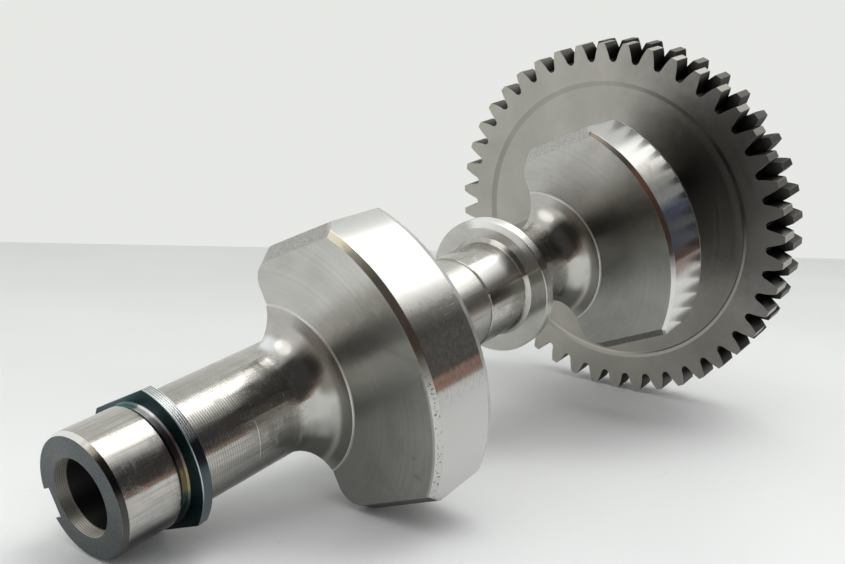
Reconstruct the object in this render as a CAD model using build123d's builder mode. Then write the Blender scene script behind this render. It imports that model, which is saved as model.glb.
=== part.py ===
from build123d import *
from math import acos, atan, atan2, cos, hypot, pi, radians, sin, sqrt, tan
import os

# Balance shaft of a vee engine: one forged and turned shaft with two one-sided
# weights, and a gear with two rows of teeth pressed on its rear seat. Millimetres.
# A station is a distance along the shaft's axis from the front end face.

# Turned shaft, radii
section_radius = 15.4
journal_radius = 16.0
neck_radius = 15.5
relief_radius = 15.1
flange_radius = 20.45
flange_back_radius = 20.1
flange_flat_height = 17.3
flange_lean_height = 17.0
flange_lean_angle = 3.2
collar_radius = 23.5
boss_radius = 24.9
seat_radius = 14.0

# Turned shaft, lengths from front to back
front_journal_length = 16.1
relief_width = 0.5
neck_length = 2.3
flange_thickness = 3.1
front_span = 44.2
weight_thickness = 24.0
middle_span = 53.3
middle_journal_length = 20.5
collar_thickness = 4.0
rear_neck_span = 29.0
rear_span = 28.0
seat_overhang = 2.0

# Turned shaft, edges
end_chamfer_length = 1.5
end_chamfer_depth = 0.7
edge_chamfer = 0.25
neck_foot = 0.4
flange_foot = 0.9
collar_foot = 1.4
journal_step_chamfer = 0.3
seat_chamfer = 1.0

# Front bore and driving slot
bore_radius = 10.0
bore_land_length = 3.2
core_hole_radius = 9.6
core_hole_depth = 46.0
drill_point_half_angle = 59.0
slot_width = 7.5
slot_floor = 12.4
slot_length = 5.0

# Centre hole in the rear end
centre_hole_radius = 4.0
centre_pilot_radius = 1.6
centre_pilot_length = 4.0
centre_half_angle = 30.0

# One-sided weights
rim_radius = 52.5
rim_chamfer_depth = 0.8
rim_chamfer_length = 2.2
weight_back = 6.4
face_half_width = 35.2
face_corner_radius = 6.2
forged_half_width = 38.6
forged_corner_radius = 4.6
forged_bevel_length = 5.6
rear_half_width = 37.6
boss_step = 0.3
flare_radius = 12.8
weight_heel = 4.0

# Gear
tooth_count = 44
tooth_rows = 2
row_width = 9.0
module = 3.1
pressure_angle = 20.0
root_bevel_height = 1.0
root_land_width = 1.4
web_outer_radius = 57.0
web_bevel = 2.0
web_recess = 1.0
hub_radius = 24.0
gear_bore_chamfer = 0.6

# Stations worked out from the lengths
relief_start = front_journal_length
neck_start = relief_start + relief_width
flange_start = neck_start + neck_length
flange_end = flange_start + flange_thickness
first_weight = flange_end + front_span
first_weight_end = first_weight + weight_thickness
middle_journal_start = first_weight_end + middle_span
collar_start = middle_journal_start + middle_journal_length
collar_end = collar_start + collar_thickness
second_weight = collar_end + rear_neck_span
second_weight_end = second_weight + weight_thickness
gear_start = second_weight_end + rear_span
gear_end = gear_start + tooth_rows * row_width
shaft_end = gear_end + seat_overhang

# Gear radii and angles worked out from the module
pitch_radius = module * tooth_count / 2
base_radius = pitch_radius * cos(radians(pressure_angle))
tip_radius = pitch_radius + module
root_radius = pitch_radius - 1.25 * module
flank_foot_radius = max(root_radius + root_bevel_height, base_radius)
pitch_angle = 2 * pi / tooth_count
root_land_angle = root_land_width / root_radius

# Rest on the floor: front end, lower corner of the first weight and gear tips
contact_station = first_weight + forged_bevel_length
corner_along = weight_back + forged_corner_radius
corner_across = forged_half_width - forged_corner_radius
corner_reach = hypot(corner_along, corner_across)
flange_corner_along = sqrt(flange_radius**2 - flange_flat_height**2)
journal_slope = (tip_radius - journal_radius) / (gear_start - end_chamfer_length)
slope = journal_slope
for _ in range(6):
    axis_height = tip_radius - (gear_start - contact_station) * slope
    lift = acos((axis_height - forged_corner_radius) / corner_reach)
    roll = lift - atan2(corner_along, corner_across)
    flange_reach = flange_corner_along * sin(roll) + flange_flat_height * cos(roll)
    flange_slope = (tip_radius - flange_reach) / (gear_start - flange_start - edge_chamfer)
    slope = min(journal_slope, flange_slope)
tilt = atan(slope)

# Directions: along the shaft, to the weights' side, and across both
along = Vector(cos(tilt), 0, sin(tilt))
level = Vector(0, -1, 0)
upward = Vector(-sin(tilt), 0, cos(tilt))
heavy = level * cos(roll) + upward * sin(roll)
across = upward * cos(roll) - level * sin(roll)
front_centre = Vector(0, 0, 0)
shaft_axis = Axis(front_centre, along)
profile_plane = Plane(origin=front_centre, x_dir=along, z_dir=-across)


def station(distance):
    """Plane square to the shaft at a station, its x towards the weights' side."""
    return Plane(origin=front_centre + along * distance, x_dir=heavy, z_dir=along)


def corner(distance, radius):
    """Corner of the profile being drawn that lies nearest to a place."""
    return vertices().sort_by_distance((distance, radius, 0))[0]


def turned_envelope(face):
    """Turned form of a weight: flare, boss step, face, rim and heel."""
    rear = face + weight_thickness
    boss = face - boss_step
    rise = flare_radius + section_radius - boss_radius
    flare_start = boss - sqrt(flare_radius**2 - rise**2)
    flare_centre = (flare_start, section_radius + flare_radius)
    half_turn = (atan2(-rise, boss - flare_start) - pi / 2) / 2
    flare_middle = (
        flare_centre[0] + flare_radius * cos(half_turn),
        flare_centre[1] + flare_radius * sin(half_turn),
    )
    edge_radius = rim_radius - rim_chamfer_depth
    heel_end = rear + weight_heel
    Line((flare_start, 0), (flare_start, section_radius))
    ThreePointArc((flare_start, section_radius), flare_middle, (boss, boss_radius))
    Polyline(
        (boss, boss_radius),
        (face, boss_radius),
        (face, edge_radius),
        (face + rim_chamfer_length, rim_radius),
        (rear - rim_chamfer_length, rim_radius),
        (rear, edge_radius),
        (rear, section_radius + weight_heel),
        (heel_end, section_radius),
        (heel_end, 0),
        (flare_start, 0),
    )


def make_weight(face):
    """Forged block with bevelled sides, turned to its envelope."""
    bevel_end = face + forged_bevel_length
    rear = face + weight_thickness
    before = face - flare_radius - boss_step
    behind = rear + weight_heel
    sections = (
        (before, face_half_width, face_corner_radius),
        (face, face_half_width, face_corner_radius),
        (bevel_end, forged_half_width, forged_corner_radius),
        (rear, rear_half_width, forged_corner_radius),
        (behind, rear_half_width, forged_corner_radius),
    )
    block_length = rim_radius + face_corner_radius
    with BuildPart() as weight:
        for distance, half_width, corner_radius in sections:
            with BuildSketch(station(distance)):
                with Locations((weight_back + block_length / 2, 0)):
                    Rectangle(block_length, 2 * half_width)
                fillet(vertices().group_by(Axis.X)[0], corner_radius)
        loft(ruled=True)
        with BuildSketch(profile_plane):
            with BuildLine():
                turned_envelope(face)
            make_face()
        revolve(axis=shaft_axis, mode=Mode.INTERSECT)
    return weight.part


def shaft_profile():
    """Half section of the turned shaft without its weights."""
    Polyline(
        (0, 0),
        (0, journal_radius - end_chamfer_depth),
        (end_chamfer_length, journal_radius),
        (relief_start, journal_radius),
        (relief_start, relief_radius),
        (neck_start, relief_radius),
        (neck_start, neck_radius),
        (flange_start, neck_radius),
        (flange_start, flange_radius),
        (flange_end, flange_back_radius),
        (flange_end, section_radius),
        (middle_journal_start, section_radius),
        (middle_journal_start, journal_radius),
        (collar_start, journal_radius),
        (collar_start, collar_radius),
        (collar_end, collar_radius),
        (collar_end, section_radius),
        (gear_start, section_radius),
        (gear_start, seat_radius),
        (shaft_end, seat_radius),
        (shaft_end, 0),
        close=True,
    )


def bore_profile():
    """Half section of the front bore: turned land, drilled hole and drill point."""
    point_length = core_hole_radius / tan(radians(drill_point_half_angle))
    Polyline(
        (0, 0),
        (0, bore_radius),
        (bore_land_length, bore_radius),
        (bore_land_length, core_hole_radius),
        (core_hole_depth, core_hole_radius),
        (core_hole_depth + point_length, 0),
        close=True,
    )


def centre_profile():
    """Half section of the centre hole in the rear end."""
    cone_length = (centre_hole_radius - centre_pilot_radius) / tan(radians(centre_half_angle))
    Polyline(
        (shaft_end, 0),
        (shaft_end, centre_hole_radius),
        (shaft_end - cone_length, centre_pilot_radius),
        (shaft_end - cone_length - centre_pilot_length, centre_pilot_radius),
        (shaft_end - cone_length - centre_pilot_length, 0),
        close=True,
    )


# One-piece shaft
weight_forms = [make_weight(face) for face in (first_weight, second_weight)]

with BuildPart() as shaft:
    with BuildSketch(profile_plane):
        with BuildLine():
            shaft_profile()
        make_face()
        chamfer(corner(flange_start, neck_radius), neck_foot)
        chamfer(corner(flange_end, section_radius), flange_foot)
        chamfer(corner(collar_start, journal_radius), collar_foot)
        chamfer(corner(collar_end, section_radius), flange_foot)
        chamfer(corner(flange_start, flange_radius), edge_chamfer)
        chamfer(corner(middle_journal_start, journal_radius), journal_step_chamfer)
        chamfer(corner(collar_start, collar_radius), edge_chamfer)
        chamfer(corner(collar_end, collar_radius), edge_chamfer)
        chamfer(corner(shaft_end, seat_radius), seat_chamfer)
    revolve(axis=shaft_axis)

    # Forged flats on the thrust flange, the upper one leaning a little
    flat_width = 3 * flange_radius
    with BuildSketch(station(flange_start)):
        with Locations((0, flange_flat_height + flange_radius / 2)):
            Rectangle(flat_width, flange_radius)
        with Locations(Location((0, -flange_lean_height), -flange_lean_angle)):
            Rectangle(flat_width, flange_radius, align=(Align.CENTER, Align.MAX))
    extrude(amount=flange_thickness, mode=Mode.SUBTRACT)

    for form in weight_forms:
        add(form)

    with BuildSketch(profile_plane):
        with BuildLine():
            bore_profile()
        make_face()
    revolve(axis=shaft_axis, mode=Mode.SUBTRACT)

    # Driving slot in the front end, opposite the weights
    slot_depth = journal_radius - slot_floor
    with BuildSketch(station(0)):
        with Locations((-slot_floor - slot_depth / 2, 0)):
            Rectangle(slot_depth, slot_width)
    extrude(amount=slot_length, mode=Mode.SUBTRACT)

    with BuildSketch(profile_plane):
        with BuildLine():
            centre_profile()
        make_face()
    revolve(axis=shaft_axis, mode=Mode.SUBTRACT)


def involute(angle):
    return tan(angle) - angle


def polar_point(radius, angle):
    return (radius * cos(angle), radius * sin(angle))


def flank_point(radius, centre_angle, side):
    """Point of a tooth flank at a radius, on one side of the tooth's centre."""
    thickness = pitch_angle / 4 + involute(radians(pressure_angle))
    half_angle = thickness - involute(acos(base_radius / radius))
    return polar_point(radius, centre_angle + side * half_angle)


def tooth_outline(turn):
    """Closed outline of all teeth, turned by an angle; a space lies at angle zero."""
    middle_radius = (tip_radius + flank_foot_radius) / 2
    for index in range(tooth_count):
        centre = turn + (index + 0.5) * pitch_angle
        feet = [flank_point(flank_foot_radius, centre, side) for side in (-1, 1)]
        middles = [flank_point(middle_radius, centre, side) for side in (-1, 1)]
        tips = [flank_point(tip_radius, centre, side) for side in (-1, 1)]
        space = centre + pitch_angle / 2
        land = [polar_point(root_radius, space + side * root_land_angle / 2) for side in (-1, 1)]
        next_foot = flank_point(flank_foot_radius, centre + pitch_angle, -1)
        ThreePointArc(feet[0], middles[0], tips[0])
        ThreePointArc(tips[0], polar_point(tip_radius, centre), tips[1])
        ThreePointArc(tips[1], middles[1], feet[1])
        Line(feet[1], land[0])
        ThreePointArc(land[0], polar_point(root_radius, space), land[1])
        Line(land[1], next_foot)


def web_ring(face, inward):
    """Half section of the shallow recess between hub and rim on one gear face."""
    floor = face + inward * web_recess
    Polyline(
        (face, hub_radius),
        (face, web_outer_radius),
        (floor, web_outer_radius - web_bevel),
        (floor, hub_radius + web_bevel),
        close=True,
    )


# Gear, each row of straight teeth half a pitch on from the row before it
with BuildPart() as gear:
    for row in range(tooth_rows):
        with BuildSketch(station(gear_start + row * row_width)):
            with BuildLine():
                tooth_outline(row * pitch_angle / 2)
            make_face()
        extrude(amount=row_width)
    with BuildSketch(profile_plane):
        with BuildLine():
            web_ring(gear_start, 1)
        make_face()
        with BuildLine():
            web_ring(gear_end, -1)
        make_face()
    revolve(axis=shaft_axis, mode=Mode.SUBTRACT)
    with BuildSketch(station(gear_start)):
        Circle(seat_radius)
    extrude(amount=gear_end - gear_start, mode=Mode.SUBTRACT)
    bore_edges = edges().filter_by(GeomType.CIRCLE)
    bore_edges = [edge for edge in bore_edges if abs(edge.radius - seat_radius) < 0.01]
    chamfer(bore_edges, gear_bore_chamfer)

# Both pieces are set down on the floor, centred over it
box = Compound([shaft.part, gear.part]).bounding_box()
set_down = Location((-box.center().X, -box.center().Y, -box.min.Z))

os.makedirs("parts", exist_ok=True)
for label, piece in (("balance_shaft", shaft), ("gear", gear)):
    placed = piece.part.moved(set_down)
    placed.label = label
    export_step(placed, "parts/" + label + ".step")
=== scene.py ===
import bpy
from math import cos, radians, sin
from mathutils import Matrix, Vector

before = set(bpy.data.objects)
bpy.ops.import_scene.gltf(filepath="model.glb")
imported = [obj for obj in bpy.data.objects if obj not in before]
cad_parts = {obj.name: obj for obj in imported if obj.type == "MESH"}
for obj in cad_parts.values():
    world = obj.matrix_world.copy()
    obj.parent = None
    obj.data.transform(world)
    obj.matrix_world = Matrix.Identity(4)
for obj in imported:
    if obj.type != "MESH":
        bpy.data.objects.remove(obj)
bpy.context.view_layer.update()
scene = bpy.context.scene

# The shaft's own directions and the centre of its front face, in millimetres
tilt = radians(12.5467)
roll = radians(22.3471)
front_centre = Vector((-136.393, 0.0, 15.506))
along = Vector((cos(tilt), 0, sin(tilt)))
level = Vector((0, -1, 0))
upward = Vector((-sin(tilt), 0, cos(tilt)))
heavy = level * cos(roll) + upward * sin(roll)
across = upward * cos(roll) - level * sin(roll)

# Stations along the shaft in millimetres from the front face, as in the solids
chamfer_end = 1.5
bore_land_end = 3.2
journal_end = 16.1
neck_start = 16.6
flange_start = 18.9
flange_end = 22.0
first_face = 66.2
first_rear = 90.2
middle_start = 143.5
collar_start = 164.0
collar_end = 168.0
second_face = 197.0
second_rear = 221.0
gear_start = 249.0
gear_end = 267.0

# Radii in millimetres, as in the solids
bore_radius = 10.0
section_radius = 15.4
journal_radius = 16.0
flange_radius = 20.45
flange_flat_height = 17.3
collar_radius = 23.5
boss_radius = 24.9
rim_radius = 52.5
web_outer_radius = 57.0
tip_radius = 71.3

# Other sizes of the solids in millimetres
boss_step = 0.3
rim_chamfer_depth = 0.8
rim_chamfer_length = 2.2
web_bevel = 2.0

# How far the painted reflections on the flares reach in front of a boss, and where the painted
# shade of the tooth spaces begins
flare_length = 9.0
space_floor = 64.0

degrees_per_radian = 57.2958

# Colours used more than once
pale_wall = (0.80, 0.81, 0.785)
plain_steel = (0.56, 0.56, 0.545)
highlight_steel = (0.97, 0.96, 0.93)
gear_pale = (0.40, 0.385, 0.35)


class Graph:
    """Adds nodes to one tree and links them."""

    def __init__(self, tree):
        self.tree = tree
        tree.nodes.clear()

    def node(self, kind, **settings):
        made = self.tree.nodes.new(kind)
        for name, value in settings.items():
            setattr(made, name, value)
        return made

    def put(self, socket, value):
        if isinstance(value, bpy.types.NodeSocket):
            self.tree.links.new(value, socket)
        elif value is not None:
            socket.default_value = value

    def math(self, operation, a, b=None, c=None):
        made = self.node("ShaderNodeMath", operation=operation)
        for socket, value in zip(made.inputs, (a, b, c)):
            self.put(socket, value)
        return made.outputs[0]

    def vector(self, operation, a, b=None):
        made = self.node("ShaderNodeVectorMath", operation=operation)
        self.put(made.inputs[0], a)
        self.put(made.inputs[1], b)
        number = operation in ("DOT_PRODUCT", "LENGTH", "DISTANCE")
        return made.outputs["Value" if number else "Vector"]

    def scaled(self, vector, factor):
        made = self.node("ShaderNodeVectorMath", operation="SCALE")
        self.put(made.inputs[0], vector)
        self.put(made.inputs["Scale"], factor)
        return made.outputs["Vector"]

    def join(self, x, y, z):
        made = self.node("ShaderNodeCombineXYZ")
        for socket, value in zip(made.inputs, (x, y, z)):
            self.put(socket, value)
        return made.outputs[0]

    def rise(self, value, low, high, bottom=0.0, top=1.0):
        """Smooth step from bottom at low to top at high."""
        made = self.node("ShaderNodeMapRange", interpolation_type="SMOOTHSTEP")
        for socket, number in zip(made.inputs, (value, low, high, bottom, top)):
            self.put(socket, number)
        return made.outputs["Result"]

    def band(self, value, low, high, soft):
        """One between low and high, falling to zero over soft on each side."""
        up = self.rise(value, low - soft, low + soft)
        down = self.rise(value, high - soft, high + soft, 1.0, 0.0)
        return self.math("MULTIPLY", up, down)

    def product(self, *values):
        result = values[0]
        for value in values[1:]:
            result = self.math("MULTIPLY", result, value)
        return result

    def noise(self, vector, scale, detail=2.0, roughness=0.5, distortion=0.0):
        made = self.node("ShaderNodeTexNoise")
        self.put(made.inputs["Vector"], vector)
        self.put(made.inputs["Scale"], scale)
        self.put(made.inputs["Detail"], detail)
        self.put(made.inputs["Roughness"], roughness)
        self.put(made.inputs["Distortion"], distortion)
        return made.outputs["Fac"]

    def mix(self, factor, a, b, blend="MIX"):
        made = self.node("ShaderNodeMix", data_type="RGBA", blend_type=blend)
        self.put(made.inputs[0], factor)
        self.put(made.inputs[6], rgba(a))
        self.put(made.inputs[7], rgba(b))
        return made.outputs[2]

    def times(self, colour, factor):
        return self.mix(1.0, colour, factor, "MULTIPLY")

    def mix_number(self, factor, a, b):
        made = self.node("ShaderNodeMix", data_type="FLOAT")
        self.put(made.inputs[0], factor)
        self.put(made.inputs[2], a)
        self.put(made.inputs[3], b)
        return made.outputs[0]

    def colours(self, factor, stops):
        """Colour ramp through (place, colour) stops."""
        made = self.node("ShaderNodeValToRGB")
        ramp = made.color_ramp
        ramp.elements[0].position = stops[0][0]
        ramp.elements[0].color = rgba(stops[0][1])
        ramp.elements[1].position = stops[-1][0]
        ramp.elements[1].color = rgba(stops[-1][1])
        for place, colour in stops[1:-1]:
            ramp.elements.new(place).color = rgba(colour)
        self.put(made.inputs[0], factor)
        return made.outputs["Color"]

    def surface(self, shader, kind="ShaderNodeOutputMaterial"):
        self.put(self.node(kind).inputs["Surface"], shader.outputs[0])


def rgba(colour):
    """Four numbers from three or one, and sockets as they are."""
    if isinstance(colour, (bpy.types.NodeSocket, type(None))):
        return colour
    if isinstance(colour, (int, float)):
        return (colour, colour, colour, 1.0)
    return (*colour, 1.0) if len(colour) == 3 else colour


def new_material(name):
    made = bpy.data.materials.new(name)
    made.use_nodes = True
    return made


class Turned(Graph):
    """Graph of a material on the shaft's axis, with its coordinates in millimetres.

    z is the station, w and u run towards and across the weights, r is the radius and
    angle goes round the axis in degrees, from the weights' side.
    """

    def __init__(self, name):
        self.material = new_material(name)
        super().__init__(self.material.node_tree)
        place = self.node("ShaderNodeTexCoord").outputs["Object"]
        self.place = self.vector("SUBTRACT", self.scaled(place, 1000.0), front_centre)
        self.z = self.vector("DOT_PRODUCT", self.place, along)
        self.w = self.vector("DOT_PRODUCT", self.place, heavy)
        self.u = self.vector("DOT_PRODUCT", self.place, across)
        squares = self.math("MULTIPLY_ADD", self.w, self.w, self.math("MULTIPLY", self.u, self.u))
        self.r = self.math("SQRT", squares)
        turned = self.math("ARCTAN2", self.u, self.w)
        self.angle = self.math("MULTIPLY", turned, degrees_per_radian)
        normal = self.node("ShaderNodeNewGeometry").outputs["Normal"]
        self.facing = self.vector("DOT_PRODUCT", normal, along)
        circle = self.vector("NORMALIZE", self.vector("CROSS_PRODUCT", along, self.place))
        self.across_grooves = self.vector("CROSS_PRODUCT", circle, normal)
        self.profile = self.math("ADD", self.z, self.r)
        self.colour = None
        self.rough = None

    def layer(self, mask, colour, roughness=None):
        """Lay a colour and a roughness over what is there, where the mask is one."""
        self.colour = self.mix(mask, self.colour, colour)
        if roughness is not None:
            self.rough = self.mix_number(mask, self.rough, roughness)

    def round_axis(self, stops, wander=6.0):
        """Colours by the angle round the axis in degrees, with wandering borders.

        The side away from the weights takes the mean of the two end colours.
        """
        cloud = self.noise(self.place, 0.35, 3.0, 0.6)
        wandering = self.math("MULTIPLY_ADD", cloud, 2 * wander, -wander)
        turned = self.math("ADD", self.angle, wandering)
        factor = self.math("MULTIPLY_ADD", turned, 1 / 180, 0.5)
        front = self.colours(factor, [((angle + 90) / 180, colour) for angle, colour in stops])
        back = self.mix(0.5, stops[0][1], stops[-1][1])
        away = self.rise(self.math("DIVIDE", self.w, self.r), 0.0, -0.7)
        return self.mix(away, front, back)

    def sector(self, low, high, soft=3.0):
        return self.band(self.angle, low, high, soft)

    def unrolled(self, per_length, per_degree):
        """The turned surface laid flat, by station and angle."""
        return self.join(
            self.math("MULTIPLY", self.z, per_length),
            self.math("MULTIPLY", self.angle, per_degree),
            0.0,
        )

    def grooves(self, pitch, streak=0.06, detail=3.0):
        """Noise drawn out round the axis, as a turning tool leaves it."""
        stretched = self.join(
            self.math("DIVIDE", self.profile, pitch),
            self.math("MULTIPLY", self.w, streak),
            self.math("MULTIPLY", self.u, streak),
        )
        return self.noise(stretched, 1.0, detail, 0.6)

    def finish(self, height, depth, edge=0.15):
        """Brushed metal with bumps of a depth and rounded edges, both in millimetres."""
        rounded = self.node("ShaderNodeBevel", samples=4)
        self.put(rounded.inputs["Radius"], edge / 1000)
        bump = self.node("ShaderNodeBump")
        self.put(bump.inputs["Distance"], depth / 1000)
        self.put(bump.inputs["Height"], height)
        self.put(bump.inputs["Normal"], rounded.outputs[0])
        shader = self.node("ShaderNodeBsdfPrincipled")
        self.put(shader.inputs["Base Color"], self.colour)
        self.put(shader.inputs["Metallic"], 1.0)
        self.put(shader.inputs["Roughness"], self.rough)
        self.put(shader.inputs["Anisotropic"], 0.85)
        self.put(shader.inputs["Tangent"], self.across_grooves)
        self.put(shader.inputs["Normal"], bump.outputs[0])
        self.surface(shader)
        return self.material


def shaft_material():
    """Turned and polished steel, forged on the sides of the weights."""
    g = Turned("turned_steel")
    mottle = g.noise(g.place, 0.22, 3.0, 0.6)
    g.colour = g.mix(g.rise(mottle, 0.35, 0.7), (0.55, 0.535, 0.51), (0.48, 0.475, 0.44))

    # Streaks along the straight parts, and painted shade on their underside, deepest under the
    # front journal
    drawn = g.join(
        g.math("MULTIPLY", g.z, 0.05), g.math("MULTIPLY", g.w, 2.0), g.math("MULTIPLY", g.u, 2.0)
    )
    streaks = g.noise(drawn, 1.0, 4.0, 0.6)
    straight = g.rise(g.r, journal_radius + 0.6, journal_radius + 0.4)
    g.layer(g.product(straight, g.rise(streaks, 0.45, 0.72, 0.0, 0.7)), (0.31, 0.29, 0.26))
    g.layer(g.product(straight, g.sector(-112, -47, 12.0)), (0.14, 0.138, 0.125))
    front_journal = g.product(straight, g.rise(g.z, journal_end - 0.1, journal_end - 1.1))
    g.layer(g.product(front_journal, g.sector(-112, -51, 5.0)), (0.05, 0.05, 0.045))
    fine = g.grooves(0.22, 0.02)
    coarse = g.grooves(0.8, 0.006, 2.0)
    g.rough = g.mix_number(g.rise(fine, 0.35, 0.65), 0.13, 0.20)
    hazy = g.rise(g.noise(g.place, 0.16, 4.0, 0.65, 0.8), 0.50, 0.66)
    g.rough = g.math("MULTIPLY_ADD", g.product(straight, hazy), 0.13, g.rough)

    front_end(g)
    neck_and_flange(g)
    front_section(g, g.rise(streaks, 0.50, 0.72))
    weights(g)
    skin = forged_sides(g)

    lines = g.math("MULTIPLY_ADD", coarse, 0.5, g.math("MULTIPLY", fine, 0.5))
    skin_height = g.math("MULTIPLY", g.noise(g.place, 1.1, 5.0, 0.65), 8.0)
    height = g.mix_number(skin, g.math("ADD", lines, flange_ridges(g)), skin_height)
    return g.finish(height, 0.006)


def front_end(g):
    """End face, its tempered edge with painted shade and a painted highlight, and the bore with its
    turned land, painted lighter below, and its black scale deepened by painted shade.
    """
    end_face = g.rise(g.z, 0.05, 0.02)
    grain = g.noise(g.place, 2.2, 3.0, 0.6)
    end_tone = g.mix(g.rise(grain, 0.3, 0.7), (0.09, 0.102, 0.105), (0.145, 0.16, 0.163))
    g.layer(end_face, end_tone, 0.42)
    edge = g.product(
        g.band(g.z, 0.05, chamfer_end, 0.05),
        g.rise(g.r, journal_radius - 1.1, journal_radius - 0.8),
    )
    # Temper tints round the edge, with painted shade across the middle and a painted highlight at
    # the top
    edge_colours = (
        (-60, (0.12, 0.12, 0.105)),
        (-25, (0.075, 0.075, 0.065)),
        (-5, (0.045, 0.043, 0.045)),
        (10, (0.06, 0.052, 0.065)),
        (28, (0.13, 0.11, 0.09)),
        (42, (0.30, 0.265, 0.22)),
        (55, (0.98, 0.98, 0.96)),
    )
    g.layer(edge, g.round_axis(edge_colours), g.rise(g.angle, 45.0, 56.0, 0.22, 0.5))
    inside = g.product(
        g.rise(g.r, bore_radius + 0.3, bore_radius - 0.1),
        g.rise(g.z, 60.0, 50.0),
        g.rise(g.z, 0.03, 0.06),
    )
    rings = g.math("SINE", g.math("MULTIPLY", g.z, 11.0))
    ring_tones = g.mix(g.rise(rings, -0.8, 0.8), (0.66, 0.61, 0.52), (0.98, 0.95, 0.88))
    # Painted light on the land: lighter on the lower side, painted shade on the upper side
    shade = g.rise(g.u, -9.0, 4.0, 1.0, 0.54)
    g.layer(inside, g.times(ring_tones, g.join(shade, shade, shade)), 0.60)
    # Behind the land the bore is black scale, deepened with painted shade
    behind_land = g.rise(g.z, bore_land_end - 0.1, bore_land_end + 0.1)
    g.layer(g.product(inside, behind_land), (0.05, 0.05, 0.05), 0.5)


def neck_and_flange(g):
    """A pit in the journal, painted shade in the relief groove, and temper colours with painted
    highlights and shade on the neck and the flange.
    """
    pit_place, pit_angle = 8.5, -32
    pit = g.product(
        g.band(g.z, pit_place, pit_place, 0.35),
        g.sector(pit_angle, pit_angle, 1.1),
        g.rise(g.r, journal_radius - 0.2, journal_radius - 0.1),
    )
    g.layer(pit, (0.12, 0.12, 0.11), 0.5)
    # Painted shade: the relief groove is painted black
    relief = g.band(g.z, journal_end, neck_start, 0.05)
    below_journal = g.rise(g.r, journal_radius - 0.01, journal_radius - 0.1)
    g.layer(g.product(relief, below_journal), (0.03, 0.03, 0.03), 0.4)
    # Temper tints round the neck, with a painted highlight near the top and painted shade at the
    # bottom
    neck_colours = (
        (-62, (0.03, 0.055, 0.06)),
        (-44, (0.05, 0.08, 0.08)),
        (-34, (0.20, 0.24, 0.19)),
        (-27, (0.40, 0.33, 0.18)),
        (-14, (0.40, 0.30, 0.18)),
        (-6, (0.18, 0.15, 0.13)),
        (20, (0.26, 0.21, 0.24)),
        (42, (0.46, 0.43, 0.44)),
        (47, (0.98, 0.98, 0.98)),
        (58, (0.98, 0.98, 0.98)),
        (66, (0.20, 0.28, 0.29)),
        (80, (0.08, 0.19, 0.20)),
    )
    neck = g.product(
        g.band(g.z, neck_start, flange_start, 0.05),
        g.rise(g.r, journal_radius + 0.1, journal_radius - 0.05),
    )
    stained = g.noise(g.unrolled(1.6, 0.05), 1.0, 3.0, 0.6)
    neck_tone = g.round_axis(neck_colours, 9.0)
    stain = g.product(g.rise(stained, 0.6, 0.35), g.rise(g.angle, 44.0, 34.0))
    neck_tone = g.mix(stain, neck_tone, g.times(neck_tone, 0.72))
    g.layer(neck, neck_tone, 0.38)
    neck_line = g.product(neck, g.rise(g.z, neck_start + 0.5, neck_start + 0.3))
    g.layer(neck_line, (0.04, 0.045, 0.045), 0.38)
    front = g.product(
        g.band(g.z, flange_start - 0.08, flange_start + 0.08, 0.03),
        g.rise(g.r, journal_radius - 0.05, journal_radius + 0.1),
    )
    # Black oxide on the front face, painted lighter towards the top
    front_colours = (
        (-60, (0.015, 0.035, 0.04)),
        (60, (0.022, 0.05, 0.055)),
        (84, (0.05, 0.10, 0.105)),
    )
    g.layer(front, g.round_axis(front_colours), 0.34)
    rim = g.product(
        g.band(g.z, flange_start + 0.1, flange_end, 0.05),
        g.rise(g.r, journal_radius + 0.8, journal_radius + 0.95),
    )
    # Painted reflections round the flange's rim: a dark band with a painted highlight above it
    flange_rim_reflections = (
        (-60, (0.10, 0.13, 0.14)),
        (-30, (0.125, 0.155, 0.165)),
        (-8, (0.05, 0.07, 0.085)),
        (6, (0.05, 0.07, 0.09)),
        (16, (0.30, 0.34, 0.36)),
        (45, (0.52, 0.55, 0.55)),
        (70, (0.22, 0.28, 0.29)),
    )
    g.layer(rim, g.round_axis(flange_rim_reflections), 0.26)
    # Painted highlight along the front edge of the flange's rim
    front_edge_highlight = g.product(
        g.band(g.z, flange_start + 0.08, flange_start + 0.3, 0.04),
        g.rise(g.r, flange_radius - 0.65, flange_radius - 0.45),
        g.sector(-30, 64, 8.0),
    )
    g.layer(front_edge_highlight, (0.55, 0.60, 0.62), 0.35)


def flange_ridges(g):
    """A few turned ridges on the upper part of the flange's rim, with a painted highlight on their
    crests, and their height.
    """
    wave = g.math("SINE", g.math("MULTIPLY", g.z, 9.5))
    where = g.product(
        g.band(g.z, flange_start + 0.3, flange_end, 0.1),
        g.rise(g.r, flange_radius - 1.45, flange_radius - 0.95),
        g.sector(12, 60, 6.0),
    )
    # Painted highlight on the ridges' crests
    g.layer(g.product(where, g.rise(wave, 0.3, 0.8)), (0.95, 0.97, 0.98), 0.34)
    return g.product(where, wave, 9.0)


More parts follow.
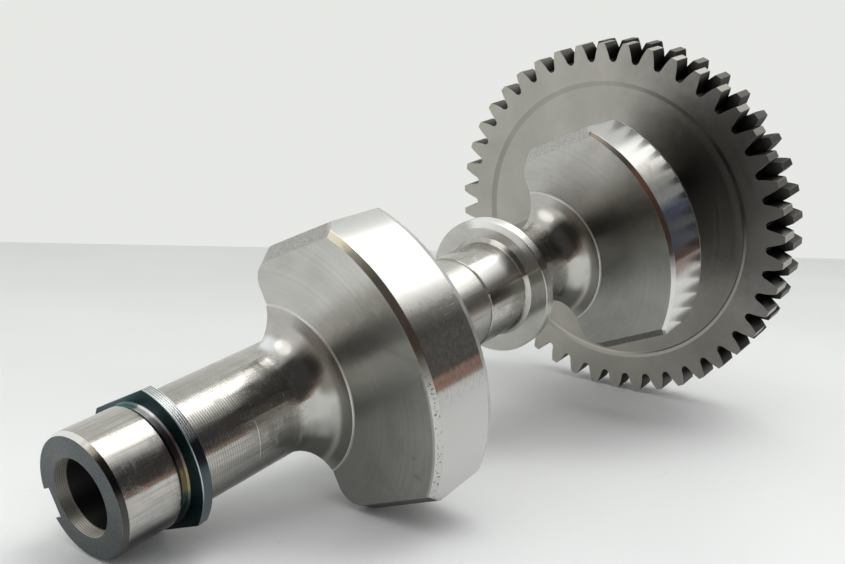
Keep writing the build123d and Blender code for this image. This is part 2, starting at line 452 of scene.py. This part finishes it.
def front_section(g, streaks):
    """Turning marks, a scratch ring, painted highlights on the middle, the second journal and the
    collar, and painted reflections and shade on the flares.
    """
    near_section = g.rise(g.r, section_radius + 0.5, section_radius + 0.2)
    wave = g.math("SINE", g.math("MULTIPLY", g.z, 8.6))
    fade = g.rise(g.z, 26.0, 54.0, 0.75, 0.1)
    behind_flange = g.rise(g.z, flange_end + 0.2, flange_end + 0.6)
    strength = g.product(behind_flange, fade, near_section, g.rise(wave, -0.6, 0.9))
    g.layer(strength, (0.33, 0.32, 0.295), 0.32)
    scratch_place = 41.9
    scratch = g.product(
        g.band(g.z, scratch_place, scratch_place + 0.15, 0.12), near_section, g.sector(-42, -2, 6.0)
    )
    g.layer(scratch, (0.95, 0.95, 0.93), 0.45)
    middle = g.product(g.band(g.z, first_rear, middle_start, 0.1), near_section)
    # Painted highlight in a band round the middle, darkened along the streaks
    middle_highlights = (
        (-60, (0.40, 0.395, 0.37)),
        (-14, (0.42, 0.41, 0.38)),
        (3, (0.80, 0.79, 0.74)),
        (24, (0.95, 0.94, 0.89)),
        (44, (0.60, 0.59, 0.555)),
    )
    middle_highlight_tone = g.round_axis(middle_highlights)
    middle_highlight_tone = g.mix(streaks, middle_highlight_tone, g.times(middle_highlight_tone, 0.72))
    g.layer(middle, middle_highlight_tone, 0.30)
    journal = g.product(
        g.band(g.z, middle_start, collar_start, 0.1),
        g.rise(g.r, journal_radius + 0.3, journal_radius + 0.2),
    )
    # Painted highlight on the second journal
    g.layer(g.product(journal, g.sector(2, 40, 5.0)), highlight_steel, 0.30)
    collar = g.product(
        g.band(g.z, collar_start - 0.1, collar_end + 0.1, 0.05),
        g.rise(g.r, collar_radius - 3.0, collar_radius - 2.7),
    )
    # Painted highlight on the top of the collar
    g.layer(g.product(collar, g.sector(22, 84, 8.0)), (0.97, 0.965, 0.94), 0.32)
    # Painted dark reflection on the second journal
    g.layer(g.product(journal, g.sector(-16, -1, 4.0)), (0.22, 0.21, 0.19), 0.2)

    # Straw, blue and red tints and a painted highlight on the first flare
    tints = (
        (60.5, 34.0, 2.2, (0.72, 0.60, 0.40)),
        (60.0, 14.0, 1.6, (0.36, 0.42, 0.56)),
        (60.8, 5.0, 1.2, (0.55, 0.25, 0.20)),
    )
    for z, angle, width, colour in tints:
        tint = g.product(
            g.band(g.z, z, z, width), g.rise(g.r, 22.0, 20.0), g.sector(angle, angle, 9.0)
        )
        g.layer(tint, colour)
    # Painted highlight on the first flare
    spot = g.product(g.band(g.z, 58.0, 62.5, 1.2), g.rise(g.r, 19.0, 17.5), g.sector(50, 68, 6.0))
    g.layer(spot, (0.93, 0.95, 0.97), 0.16)

    # Painted dark reflections on each flare and the painted highlight crescent between them
    for boss in (first_face - boss_step, second_face - boss_step):
        flare = g.product(
            g.band(g.z, boss - flare_length, boss - 0.02, 0.02),
            g.rise(g.r, boss_radius + 0.05, boss_radius - 0.05),
        )
        # Painted dark reflections and painted shade on the flare
        shade = g.product(flare, g.rise(g.r, 21.2, 22.6), g.sector(-70, 46, 10.0))
        g.layer(g.math("MULTIPLY", shade, 0.85), (0.15, 0.145, 0.125), 0.24)
        low = g.product(flare, g.rise(g.r, 22.0, 20.0), g.sector(-90, -42, 8.0))
        g.layer(g.math("MULTIPLY", low, 0.9), (0.15, 0.145, 0.13), 0.24)
        upper = g.product(flare, g.rise(g.r, 17.8, 19.5), g.sector(-8, 34, 6.0))
        g.layer(g.math("MULTIPLY", upper, 0.8), (0.17, 0.15, 0.125), 0.22)
        crescent = g.product(flare, g.band(g.r, 17.6, 19.6, 0.6), g.sector(-44, -10, 6.0))
        g.layer(crescent, (0.54, 0.53, 0.505), 0.22)


def weights(g):
    """Turned faces, rims and their chamfered edges on both weights, with painted reflections,
    highlights and shade.
    """
    # Painted reflections round each rim by angle: light, dark and red-brown bands
    second_rim_reflections = (
        (-24, (0.64, 0.63, 0.61)),
        (-20, (0.27, 0.22, 0.20)),
        (-15, (0.20, 0.12, 0.10)),
        (-10, (0.24, 0.27, 0.34)),
        (-4, (0.34, 0.35, 0.37)),
        (2, (0.18, 0.22, 0.32)),
        (7, (0.24, 0.25, 0.25)),
        (14, (0.13, 0.13, 0.115)),
        (19, (0.24, 0.24, 0.22)),
        (24, plain_steel),
    )
    first_rim_reflections = (
        (-60, plain_steel),
        (-13, plain_steel),
        (-9, (0.66, 0.60, 0.56)),
        (-5, (0.95, 0.90, 0.83)),
        (2, (0.97, 0.93, 0.86)),
        (7, (0.56, 0.535, 0.49)),
        (10, (0.38, 0.365, 0.335)),
        (13, (0.64, 0.635, 0.61)),
        (18, (0.80, 0.80, 0.78)),
        (26, (0.62, 0.62, 0.605)),
    )
    # Painted light and shade on the turned faces by angle, with a dark painted streak across each
    first_face_shading = (
        (-90, (0.30, 0.30, 0.28)),
        (-45, (0.32, 0.32, 0.30)),
        (-12, (0.37, 0.37, 0.345)),
        (6, (0.42, 0.415, 0.39)),
        (15, (0.36, 0.355, 0.33)),
        (25, (0.60, 0.59, 0.56)),
        (36, (0.56, 0.55, 0.525)),
        (44, (0.51, 0.50, 0.48)),
    )
    second_face_shading = (
        (-90, (0.36, 0.36, 0.34)),
        (-30, (0.38, 0.38, 0.365)),
        (-8, (0.30, 0.295, 0.275)),
        (5, (0.17, 0.16, 0.145)),
        (18, (0.27, 0.26, 0.24)),
        (34, (0.46, 0.45, 0.43)),
        (60, (0.49, 0.48, 0.46)),
    )
    rims = (
        (first_face, first_rear, g.round_axis(first_rim_reflections, 1.5), 0.16, first_face_shading),
        (second_face, second_rear, g.round_axis(second_rim_reflections, 2.0), 0.13, second_face_shading),
    )
    on_rim = g.rise(g.r, rim_radius - 0.3, rim_radius - 0.1)
    for face, rear, rim_reflections, polished, face_shading in rims:
        block = g.band(g.z, face - 0.1, rear + 0.1, 0.05)
        end_on = g.math("ABSOLUTE", g.facing)
        turned_face = g.product(block, g.rise(end_on, 0.9, 0.97))
        arcs = g.grooves(1.1, 0.004, 3.0)
        tone = g.round_axis(face_shading, 5.0)
        tone = g.mix(g.rise(arcs, 0.3, 0.7), tone, g.times(tone, 1.09))
        smudge = g.rise(g.noise(g.place, 0.055, 4.0, 0.6, 1.0), 0.42, 0.62)
        tone = g.mix(smudge, tone, g.times(tone, (0.90, 0.90, 0.885)))
        g.layer(turned_face, tone, 0.27)
        rim = g.product(block, on_rim, g.rise(end_on, 0.2, 0.1))
        # Mottled wear over the painted reflections in a band round the rims
        rubbed = g.rise(g.noise(g.unrolled(1.5, 0.5), 1.0, 5.0, 0.7), 0.35, 0.65)
        rubbed_rim_reflections = g.mix(rubbed, g.times(rim_reflections, 0.76), rim_reflections)
        g.layer(rim, g.mix(g.sector(-16, 13, 4.0), rim_reflections, rubbed_rim_reflections), polished)
        heel = g.product(
            g.band(g.z, rear - rim_chamfer_length, rear + 0.1, 0.05),
            g.rise(g.r, rim_radius - 2.0, rim_radius - 1.9),
        )
        g.layer(heel, plain_steel, 0.3)
        # Painted highlight on the boss's step
        step = g.product(
            g.band(g.z, face - boss_step, face, 0.04),
            g.band(g.r, boss_radius - 0.4, boss_radius + 0.5, 0.12),
        )
        g.layer(step, highlight_steel, 0.5)

    # The first rim's chamfered edge with tints and painted reflections, its pits and the painted
    # highlight line inside it
    chamfer_foot = rim_radius - rim_chamfer_depth
    on_chamfer = g.rise(g.r, chamfer_foot - 0.05, chamfer_foot + 0.05)
    first_edge = g.product(
        g.band(g.z, first_face + 0.05, first_face + rim_chamfer_length - 0.1, 0.05), on_chamfer
    )
    # Tints with painted reflections round the first rim's chamfered edge
    first_colours = (
        (-50, (0.58, 0.58, 0.56)),
        (-4, (0.62, 0.62, 0.60)),
        (2, (0.33, 0.25, 0.20)),
        (12, (0.36, 0.27, 0.225)),
        (24, (0.18, 0.165, 0.135)),
        (34, (0.22, 0.205, 0.165)),
        (39, (0.47, 0.42, 0.32)),
        (50, (0.52, 0.50, 0.44)),
    )
    g.layer(first_edge, g.round_axis(first_colours, 3.0), 0.38)
    pits = g.rise(g.noise(g.place, 1.4, 2.0, 0.5), 0.60, 0.66)
    g.layer(g.product(first_edge, g.sector(-46, -6, 2.0), pits), (0.16, 0.16, 0.15), 0.6)
    # Painted highlight line along the first face's outer edge
    rim_highlight_line = g.product(
        g.band(g.z, first_face, first_face + 0.3, 0.05),
        g.rise(g.r, rim_radius - 1.6, rim_radius - 1.4),
    )
    g.layer(g.product(rim_highlight_line, g.sector(-60, -6, 3.0)), (0.66, 0.65, 0.62), 0.35)

    # Nicks in the first face, by radius, angle, length and width
    nicks = ((47.0, -39.0, 2.8, 0.8), (45.0, -33.0, 1.0, 0.6), (38.0, 8.0, 0.7, 0.5))
    for radius, angle, long, wide in nicks:
        per_degree = radius / degrees_per_radian
        arc = angle * per_degree
        nick = g.product(
            g.band(g.z, first_face - 0.05, first_face + 0.05, 0.02),
            g.band(g.r, radius - long / 2, radius + long / 2, 0.3),
            g.band(g.math("MULTIPLY", g.angle, per_degree), arc, arc, wide),
        )
        g.layer(nick, (0.03, 0.03, 0.028), 0.6)

    # Scores in the first rim, and painted reflections on the second rim's chamfered edge
    scored = g.noise(g.unrolled(0.12, 2.2), 1.0, 3.0, 0.6)
    scores = g.product(g.band(g.z, 80.0, 90.0, 2.0), on_rim, g.sector(6, 16, 3.0))
    g.layer(g.product(scores, g.rise(scored, 0.60, 0.68)), (0.72, 0.71, 0.68), 0.35)
    # Painted reflections round the second rim's chamfered edge
    second_edge = g.product(
        g.band(g.z, second_face + 0.05, second_face + rim_chamfer_length - 0.05, 0.05), on_chamfer
    )
    second_edge_reflections = (
        (-50, (0.80, 0.80, 0.78)),
        (-24, (0.74, 0.73, 0.70)),
        (-12, (0.12, 0.11, 0.12)),
        (2, (0.42, 0.27, 0.20)),
        (14, (0.50, 0.24, 0.15)),
        (26, (0.08, 0.07, 0.06)),
        (44, (0.14, 0.12, 0.10)),
        (54, (0.62, 0.46, 0.28)),
    )
    g.layer(second_edge, g.round_axis(second_edge_reflections, 3.0), 0.3)


def forged_sides(g):
    """Forging skin on the sides of the weights and the flats of the flange."""
    first = g.band(g.z, first_face - 0.01, first_rear, 0.01)
    second = g.band(g.z, second_face - 0.01, second_rear, 0.01)
    plain = g.rise(g.math("ABSOLUTE", g.facing), 0.95, 0.9)
    sides = g.product(
        g.math("ADD", first, second),
        g.rise(g.r, rim_radius - 0.3, rim_radius - 1.0),
        g.rise(g.r, rim_radius - 0.75, rim_radius - 0.9),
        g.rise(g.r, boss_radius + 0.2, boss_radius + 0.5),
        plain,
    )
    flat = g.product(
        g.band(g.z, flange_start + 0.1, flange_end - 0.05, 0.03),
        g.rise(g.r, flange_radius - 0.45, flange_radius - 0.55),
        g.rise(g.math("ABSOLUTE", g.u), flange_flat_height - 0.6, flange_flat_height - 0.4),
    )
    skin = g.math("MAXIMUM", sides, flat)
    crust = g.noise(g.place, 1.5, 5.0, 0.65)
    dark_skin = g.colours(crust, ((0.32, (0.11, 0.11, 0.10)), (0.65, (0.30, 0.295, 0.28))))
    pale_skin = g.colours(crust, ((0.30, (0.38, 0.375, 0.36)), (0.62, (0.70, 0.69, 0.67))))
    # Painted shade: the skin is darker towards the bottom and paler on top
    g.layer(skin, g.mix(g.rise(g.u, -20.0, 10.0), dark_skin, pale_skin), 0.6)
    return skin


def gear_material():
    """Satin steel, with painted shade on the face and in the tooth spaces."""
    g = Turned("gear_steel")
    cloud = g.noise(g.place, 0.05, 3.0, 0.55)
    lines = g.grooves(0.9, 0.006)
    # Painted shade across the middle of the face by angle, paler above and below
    gear_face_shade = (
        (-90, gear_pale),
        (-54, (0.30, 0.288, 0.263)),
        (-30, (0.17, 0.162, 0.148)),
        (26, (0.155, 0.148, 0.136)),
        (48, (0.29, 0.28, 0.257)),
        (70, gear_pale),
        (90, (0.42, 0.405, 0.37)),
    )
    tone = g.round_axis(gear_face_shade, 8.0)
    g.colour = g.mix(g.rise(cloud, 0.3, 0.7), tone, g.times(tone, 1.18))
    g.rough = g.mix_number(g.rise(lines, 0.3, 0.7), 0.28, 0.36)

    # Painted shade on the recess's bevel below and on the weights' side, with a painted highlight
    # line in it at the bottom
    bevel = g.product(
        g.band(g.r, web_outer_radius - web_bevel + 0.1, web_outer_radius, 0.1),
        g.rise(g.math("ABSOLUTE", g.facing), 0.97, 0.94),
    )
    g.layer(g.product(bevel, g.sector(-100, 45, 15.0)), (0.11, 0.105, 0.097), 0.36)
    line = g.product(bevel, g.rise(g.r, web_outer_radius - 1.3, web_outer_radius - 1.1))
    g.layer(g.product(line, g.rise(g.u, -10.0, -35.0)), (0.38, 0.365, 0.335), 0.36)

    # Painted shade in the tooth spaces, deepest at the roots and on the rear row, with pale tips
    between_rows = (gear_start + gear_end) / 2
    rear_row = g.rise(g.z, between_rows - 0.1, between_rows + 0.1)
    height_on_tooth = g.math("MULTIPLY_ADD", g.r, 0.125, -7.97)
    flank_tones = (
        (0.05, (0.012, 0.012, 0.011)),
        (0.5, (0.04, 0.039, 0.036)),
        (0.88, (0.13, 0.125, 0.115)),
    )
    flanks = g.colours(height_on_tooth, flank_tones)
    flanks = g.mix(g.rise(g.r, tip_radius - 0.2, tip_radius - 0.1), flanks, (0.42, 0.405, 0.375))
    flanks = g.mix(rear_row, flanks, g.times(flanks, 0.35))
    spaces = g.product(
        g.rise(g.r, space_floor, space_floor + 0.2),
        g.rise(g.z, gear_start + 0.1, gear_start + 0.3),
        g.rise(g.z, gear_end - 0.1, gear_end - 0.3),
    )
    g.layer(spaces, flanks, 0.42)
    grain = g.noise(g.place, 2.5, 3.0, 0.6)
    height = g.math("MULTIPLY_ADD", lines, 0.6, g.math("MULTIPLY", grain, 0.4))
    return g.finish(height, 0.015)


def assign(node, material):
    """Put the material in every slot of a CAD node."""
    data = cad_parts[node].data
    for index in range(len(data.materials)):
        data.materials[index] = material
    if not data.materials:
        data.materials.append(material)


assign("balance_shaft", shaft_material())
assign("gear", gear_material())


def plane(name, corners, material):
    """Flat stage object through four corners in metres."""
    mesh = bpy.data.meshes.new(name)
    mesh.from_pydata([tuple(c) for c in corners], [], [(0, 1, 2, 3)])
    mesh.materials.append(material)
    made = bpy.data.objects.new(name, mesh)
    scene.collection.objects.link(made)
    return made


def floor_material():
    """Pale paint with clouds, specks and faint scratches."""
    material = new_material("floor_paint")
    g = Graph(material.node_tree)
    place = g.node("ShaderNodeTexCoord").outputs["Object"]
    cloud = g.noise(place, 6.0, 3.0, 0.5)
    colour = g.mix(g.rise(cloud, 0.3, 0.7), (0.785, 0.80, 0.805), (0.825, 0.84, 0.845))
    speck = g.noise(place, 420.0, 2.0, 0.6)
    colour = g.mix(g.rise(speck, 0.74, 0.80), colour, (0.55, 0.55, 0.53))
    drawn = g.vector("MULTIPLY", place, (60.0, 700.0, 1.0))
    bend = g.join(g.noise(place, 9.0), g.noise(place, 7.0), 0.0)
    drawn = g.vector("ADD", drawn, g.scaled(bend, 30.0))
    scratch = g.noise(drawn, 1.0, 2.0, 0.5)
    colour = g.mix(g.rise(scratch, 0.72, 0.78, 0.0, 0.35), colour, (0.60, 0.60, 0.58))
    shader = g.node("ShaderNodeBsdfPrincipled")
    g.put(shader.inputs["Base Color"], colour)
    g.put(shader.inputs["Roughness"], 0.45)
    g.put(shader.inputs["Specular IOR Level"], 0.3)
    g.surface(shader)
    return material


def wall_material():
    """Evenly lit wall that can be seen from its front only."""
    material = new_material("wall_paint")
    g = Graph(material.node_tree)
    glow = g.node("ShaderNodeEmission")
    g.put(glow.inputs["Color"], rgba(pale_wall))
    g.put(glow.inputs["Strength"], 1.0)
    clear = g.node("ShaderNodeBsdfTransparent")
    both = g.node("ShaderNodeMixShader")
    g.put(both.inputs[0], g.node("ShaderNodeNewGeometry").outputs["Backfacing"])
    g.put(both.inputs[1], glow.outputs[0])
    g.put(both.inputs[2], clear.outputs[0])
    g.surface(both)
    return material


# Floor, and the wall behind it along the photo's faint line
wall_near = Vector((0.1270, 0.4822, 0))
wall_far = Vector((0.7707, 0.0938, 0))
wall_run = (wall_far - wall_near).normalized()
wall_left = wall_near - wall_run * 1.6
wall_right = wall_far + wall_run * 0.35
up = Vector((0, 0, 1.5))
plane("floor", ((-3, -3, 0), (3, -3, 0), (3, 3, 0), (-3, 3, 0)), floor_material())
plane("wall", (wall_left, wall_right, wall_right + up, wall_left + up), wall_material())


def towards(azimuth, elevation):
    """Unit vector at an azimuth from +X and an elevation, in degrees."""
    turned, raised = radians(azimuth), radians(elevation)
    return Vector((cos(raised) * cos(turned), cos(raised) * sin(turned), sin(raised)))


# Studio light: a broad soft source overhead with a hot centre and a window behind it,
# pale walls on the left, a dark room on the right with something red-brown low down in
# it. The camera itself sees a pale backdrop in its place.
world = bpy.data.worlds.new("studio")
scene.world = world
world.use_nodes = True
sky = Graph(world.node_tree)
direction = sky.node("ShaderNodeTexCoord").outputs["Generated"]
overhead = sky.vector("DOT_PRODUCT", direction, towards(10, 50))
side = sky.vector("DOT_PRODUCT", direction, towards(80, 0))
height = sky.vector("DOT_PRODUCT", direction, towards(0, 90))
walls = sky.rise(side, -0.42, -0.10, 0.055, 0.72)
source = sky.rise(overhead, 0.69, 0.79, 0.0, 0.80)
source = sky.math("ADD", source, sky.rise(overhead, 0.80, 0.88, 0.0, 0.90))
lamp = sky.vector("DOT_PRODUCT", direction, towards(10, 68))
source = sky.math("ADD", source, sky.rise(lamp, 0.93, 0.985, 0.0, 2.6))
window = sky.vector("DOT_PRODUCT", direction, towards(165, 55))
source = sky.math("ADD", source, sky.rise(window, 0.95, 0.98, 0.0, 1.6))
level_light = sky.math("MAXIMUM", walls, source)
light = sky.times(level_light, (1.0, 0.995, 0.975))
low_right = sky.product(sky.rise(side, -0.40, -0.50), sky.rise(height, 0.105, 0.085))
light = sky.mix(low_right, light, (0.30, 0.20, 0.165))
room = sky.node("ShaderNodeBackground")
sky.put(room.inputs["Color"], light)
sky.put(room.inputs["Strength"], 1.06)
backdrop = sky.node("ShaderNodeBackground")
sky.put(backdrop.inputs["Color"], rgba(pale_wall))
seen = sky.node("ShaderNodeMixShader")
sky.put(seen.inputs[0], sky.node("ShaderNodeLightPath").outputs["Is Camera Ray"])
sky.put(seen.inputs[1], room.outputs[0])
sky.put(seen.inputs[2], backdrop.outputs[0])
sky.surface(seen, "ShaderNodeOutputWorld")


def soft_lamp(name, size, energy, place, target):
    """Wide lamp that fills the shadows and isn't mirrored in the steel."""
    data = bpy.data.lights.new(name, "AREA")
    data.size = size
    data.energy = energy
    lamp = bpy.data.objects.new(name, data)
    lamp.location = place
    lamp.rotation_euler = (Vector(place) - Vector(target)).to_track_quat("Z", "Y").to_euler()
    lamp.visible_glossy = False
    scene.collection.objects.link(lamp)


# One lamp straight over the table and one low in front of it
soft_lamp("fill", 0.9, 3.0, (-0.30, -0.45, 1.25), (-0.30, -0.45, 0.0))
soft_lamp("low_fill", 1.4, 10.5, (-0.95, -1.55, 1.05), (0.0, 0.0, 0.0))

# Camera at the photo's place
camera_data = bpy.data.cameras.new("camera")
camera_data.lens = 44.98
camera_data.sensor_width = 36.0
camera_data.sensor_fit = "HORIZONTAL"
camera_data.clip_start = 0.01
camera_data.clip_end = 20.0
camera = bpy.data.objects.new("camera", camera_data)
scene.collection.objects.link(camera)
right = Vector((0.61511, -0.78548, 0.06824))
down = Vector((-0.08028, -0.14850, -0.98565))
forward = Vector((0.78434, 0.60081, -0.15440))
turn = Matrix((right, -down, -forward)).transposed().to_4x4()
camera.matrix_world = Matrix.Translation((-0.27363, -0.19931, 0.10686)) @ turn
scene.camera = camera

scene.view_settings.view_transform = "Standard"
scene.view_settings.look = "None"
